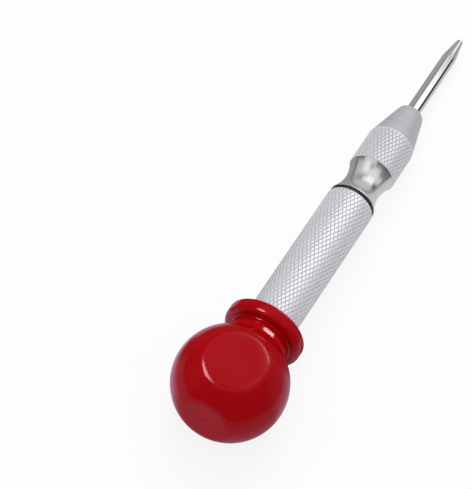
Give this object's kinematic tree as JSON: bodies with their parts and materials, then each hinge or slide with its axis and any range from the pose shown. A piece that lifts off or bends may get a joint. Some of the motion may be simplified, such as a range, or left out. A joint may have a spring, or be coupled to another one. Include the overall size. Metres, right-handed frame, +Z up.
{
  "type": "automatic center punch",
  "caption": "Spring-loaded automatic center punch with a red ball cap, knurled barrel, waisted nose and slim steel point; pressing the point cocks and trips an inner hammer.",
  "frame": {"origin": "middle of the tool's box on the floor it lies on", "axes": "+X towards the tip, +Z up; the tool's axis dips 4.37 degrees towards the tip, because it lies on the lower side flat of the ball and on the nose band"},
  "size_m": [0.1458, 0.03, 0.0265],
  "materials": {
    "red_plastic": "glossy moulded plastic",
    "turned_aluminium": "turned, plain",
    "knurled_aluminium": "diamond knurl, satin",
    "nose_aluminium": "polished waist, knurled band, satin cone",
    "black_rubber": "smooth rubber ring",
    "polished_steel": "ground and polished",
    "plain_steel": "turned",
    "hardened_steel": "hardened, ground",
    "spring_steel": "drawn wire",
    "guide_brass": "turned"
  },
  "bodies": {
    "tool_body": {"barrel": "knurled_aluminium", "release_sleeve": "hardened_steel", "joint_ring": "black_rubber", "nose": "nose_aluminium", "stem_guide": "guide_brass", "return_spring": "spring_steel"},
    "spring_follower": {"spring_seat": "plain_steel", "main_spring": "spring_steel"},
    "adjuster": {"ball_cap": "red_plastic", "adjusting_cap": "turned_aluminium"},
    "punch": {"punch_point": "polished_steel", "plunger": "plain_steel"},
    "striker": {"hammer": "plain_steel", "trip_spring": "spring_steel"},
    "trip": {"trip_block": "hardened_steel"}
  },
  "joints": [
    {"name": "point_press", "type": "slide", "parent": "tool_body", "child": "punch", "axis": [-0.9971, 0, 0.0762], "range_m": [0, 0.009], "stiffness_N_per_m": 400, "springref_m": -0.005, "deforming": ["return_spring"]},
    {"name": "hammer_cock", "type": "slide", "parent": "tool_body", "child": "striker", "axis": [-0.9971, 0, 0.0762], "range_m": [0, 0.009], "deforming": ["main_spring"]},
    {"name": "trip_shift", "type": "slide", "parent": "striker", "child": "trip", "axis": [0, -1, 0], "range_m": [0, 0.00061], "deforming": ["trip_spring"]},
    {"name": "cap_travel", "type": "slide", "parent": "tool_body", "child": "spring_follower", "axis": [0.9971, 0, -0.0762], "range_m": [-0.00151, 0.00151], "deforming": ["main_spring"]},
    {"name": "cap_turn", "type": "hinge", "parent": "spring_follower", "child": "adjuster", "pos_m": [-0.05873, 0, 0.01327], "axis": [0.9971, 0, -0.0762], "range_deg": [-540, 540]}
  ],
  "couplings": [
    {"joint": "hammer_cock", "follows": "point_press", "ratio": 1},
    {"joint": "trip_shift", "follows": "point_press", "ratio": 0.066667},
    {"joint": "cap_travel", "follows": "cap_turn", "m_per_rad": 0.00015915}
  ]
}
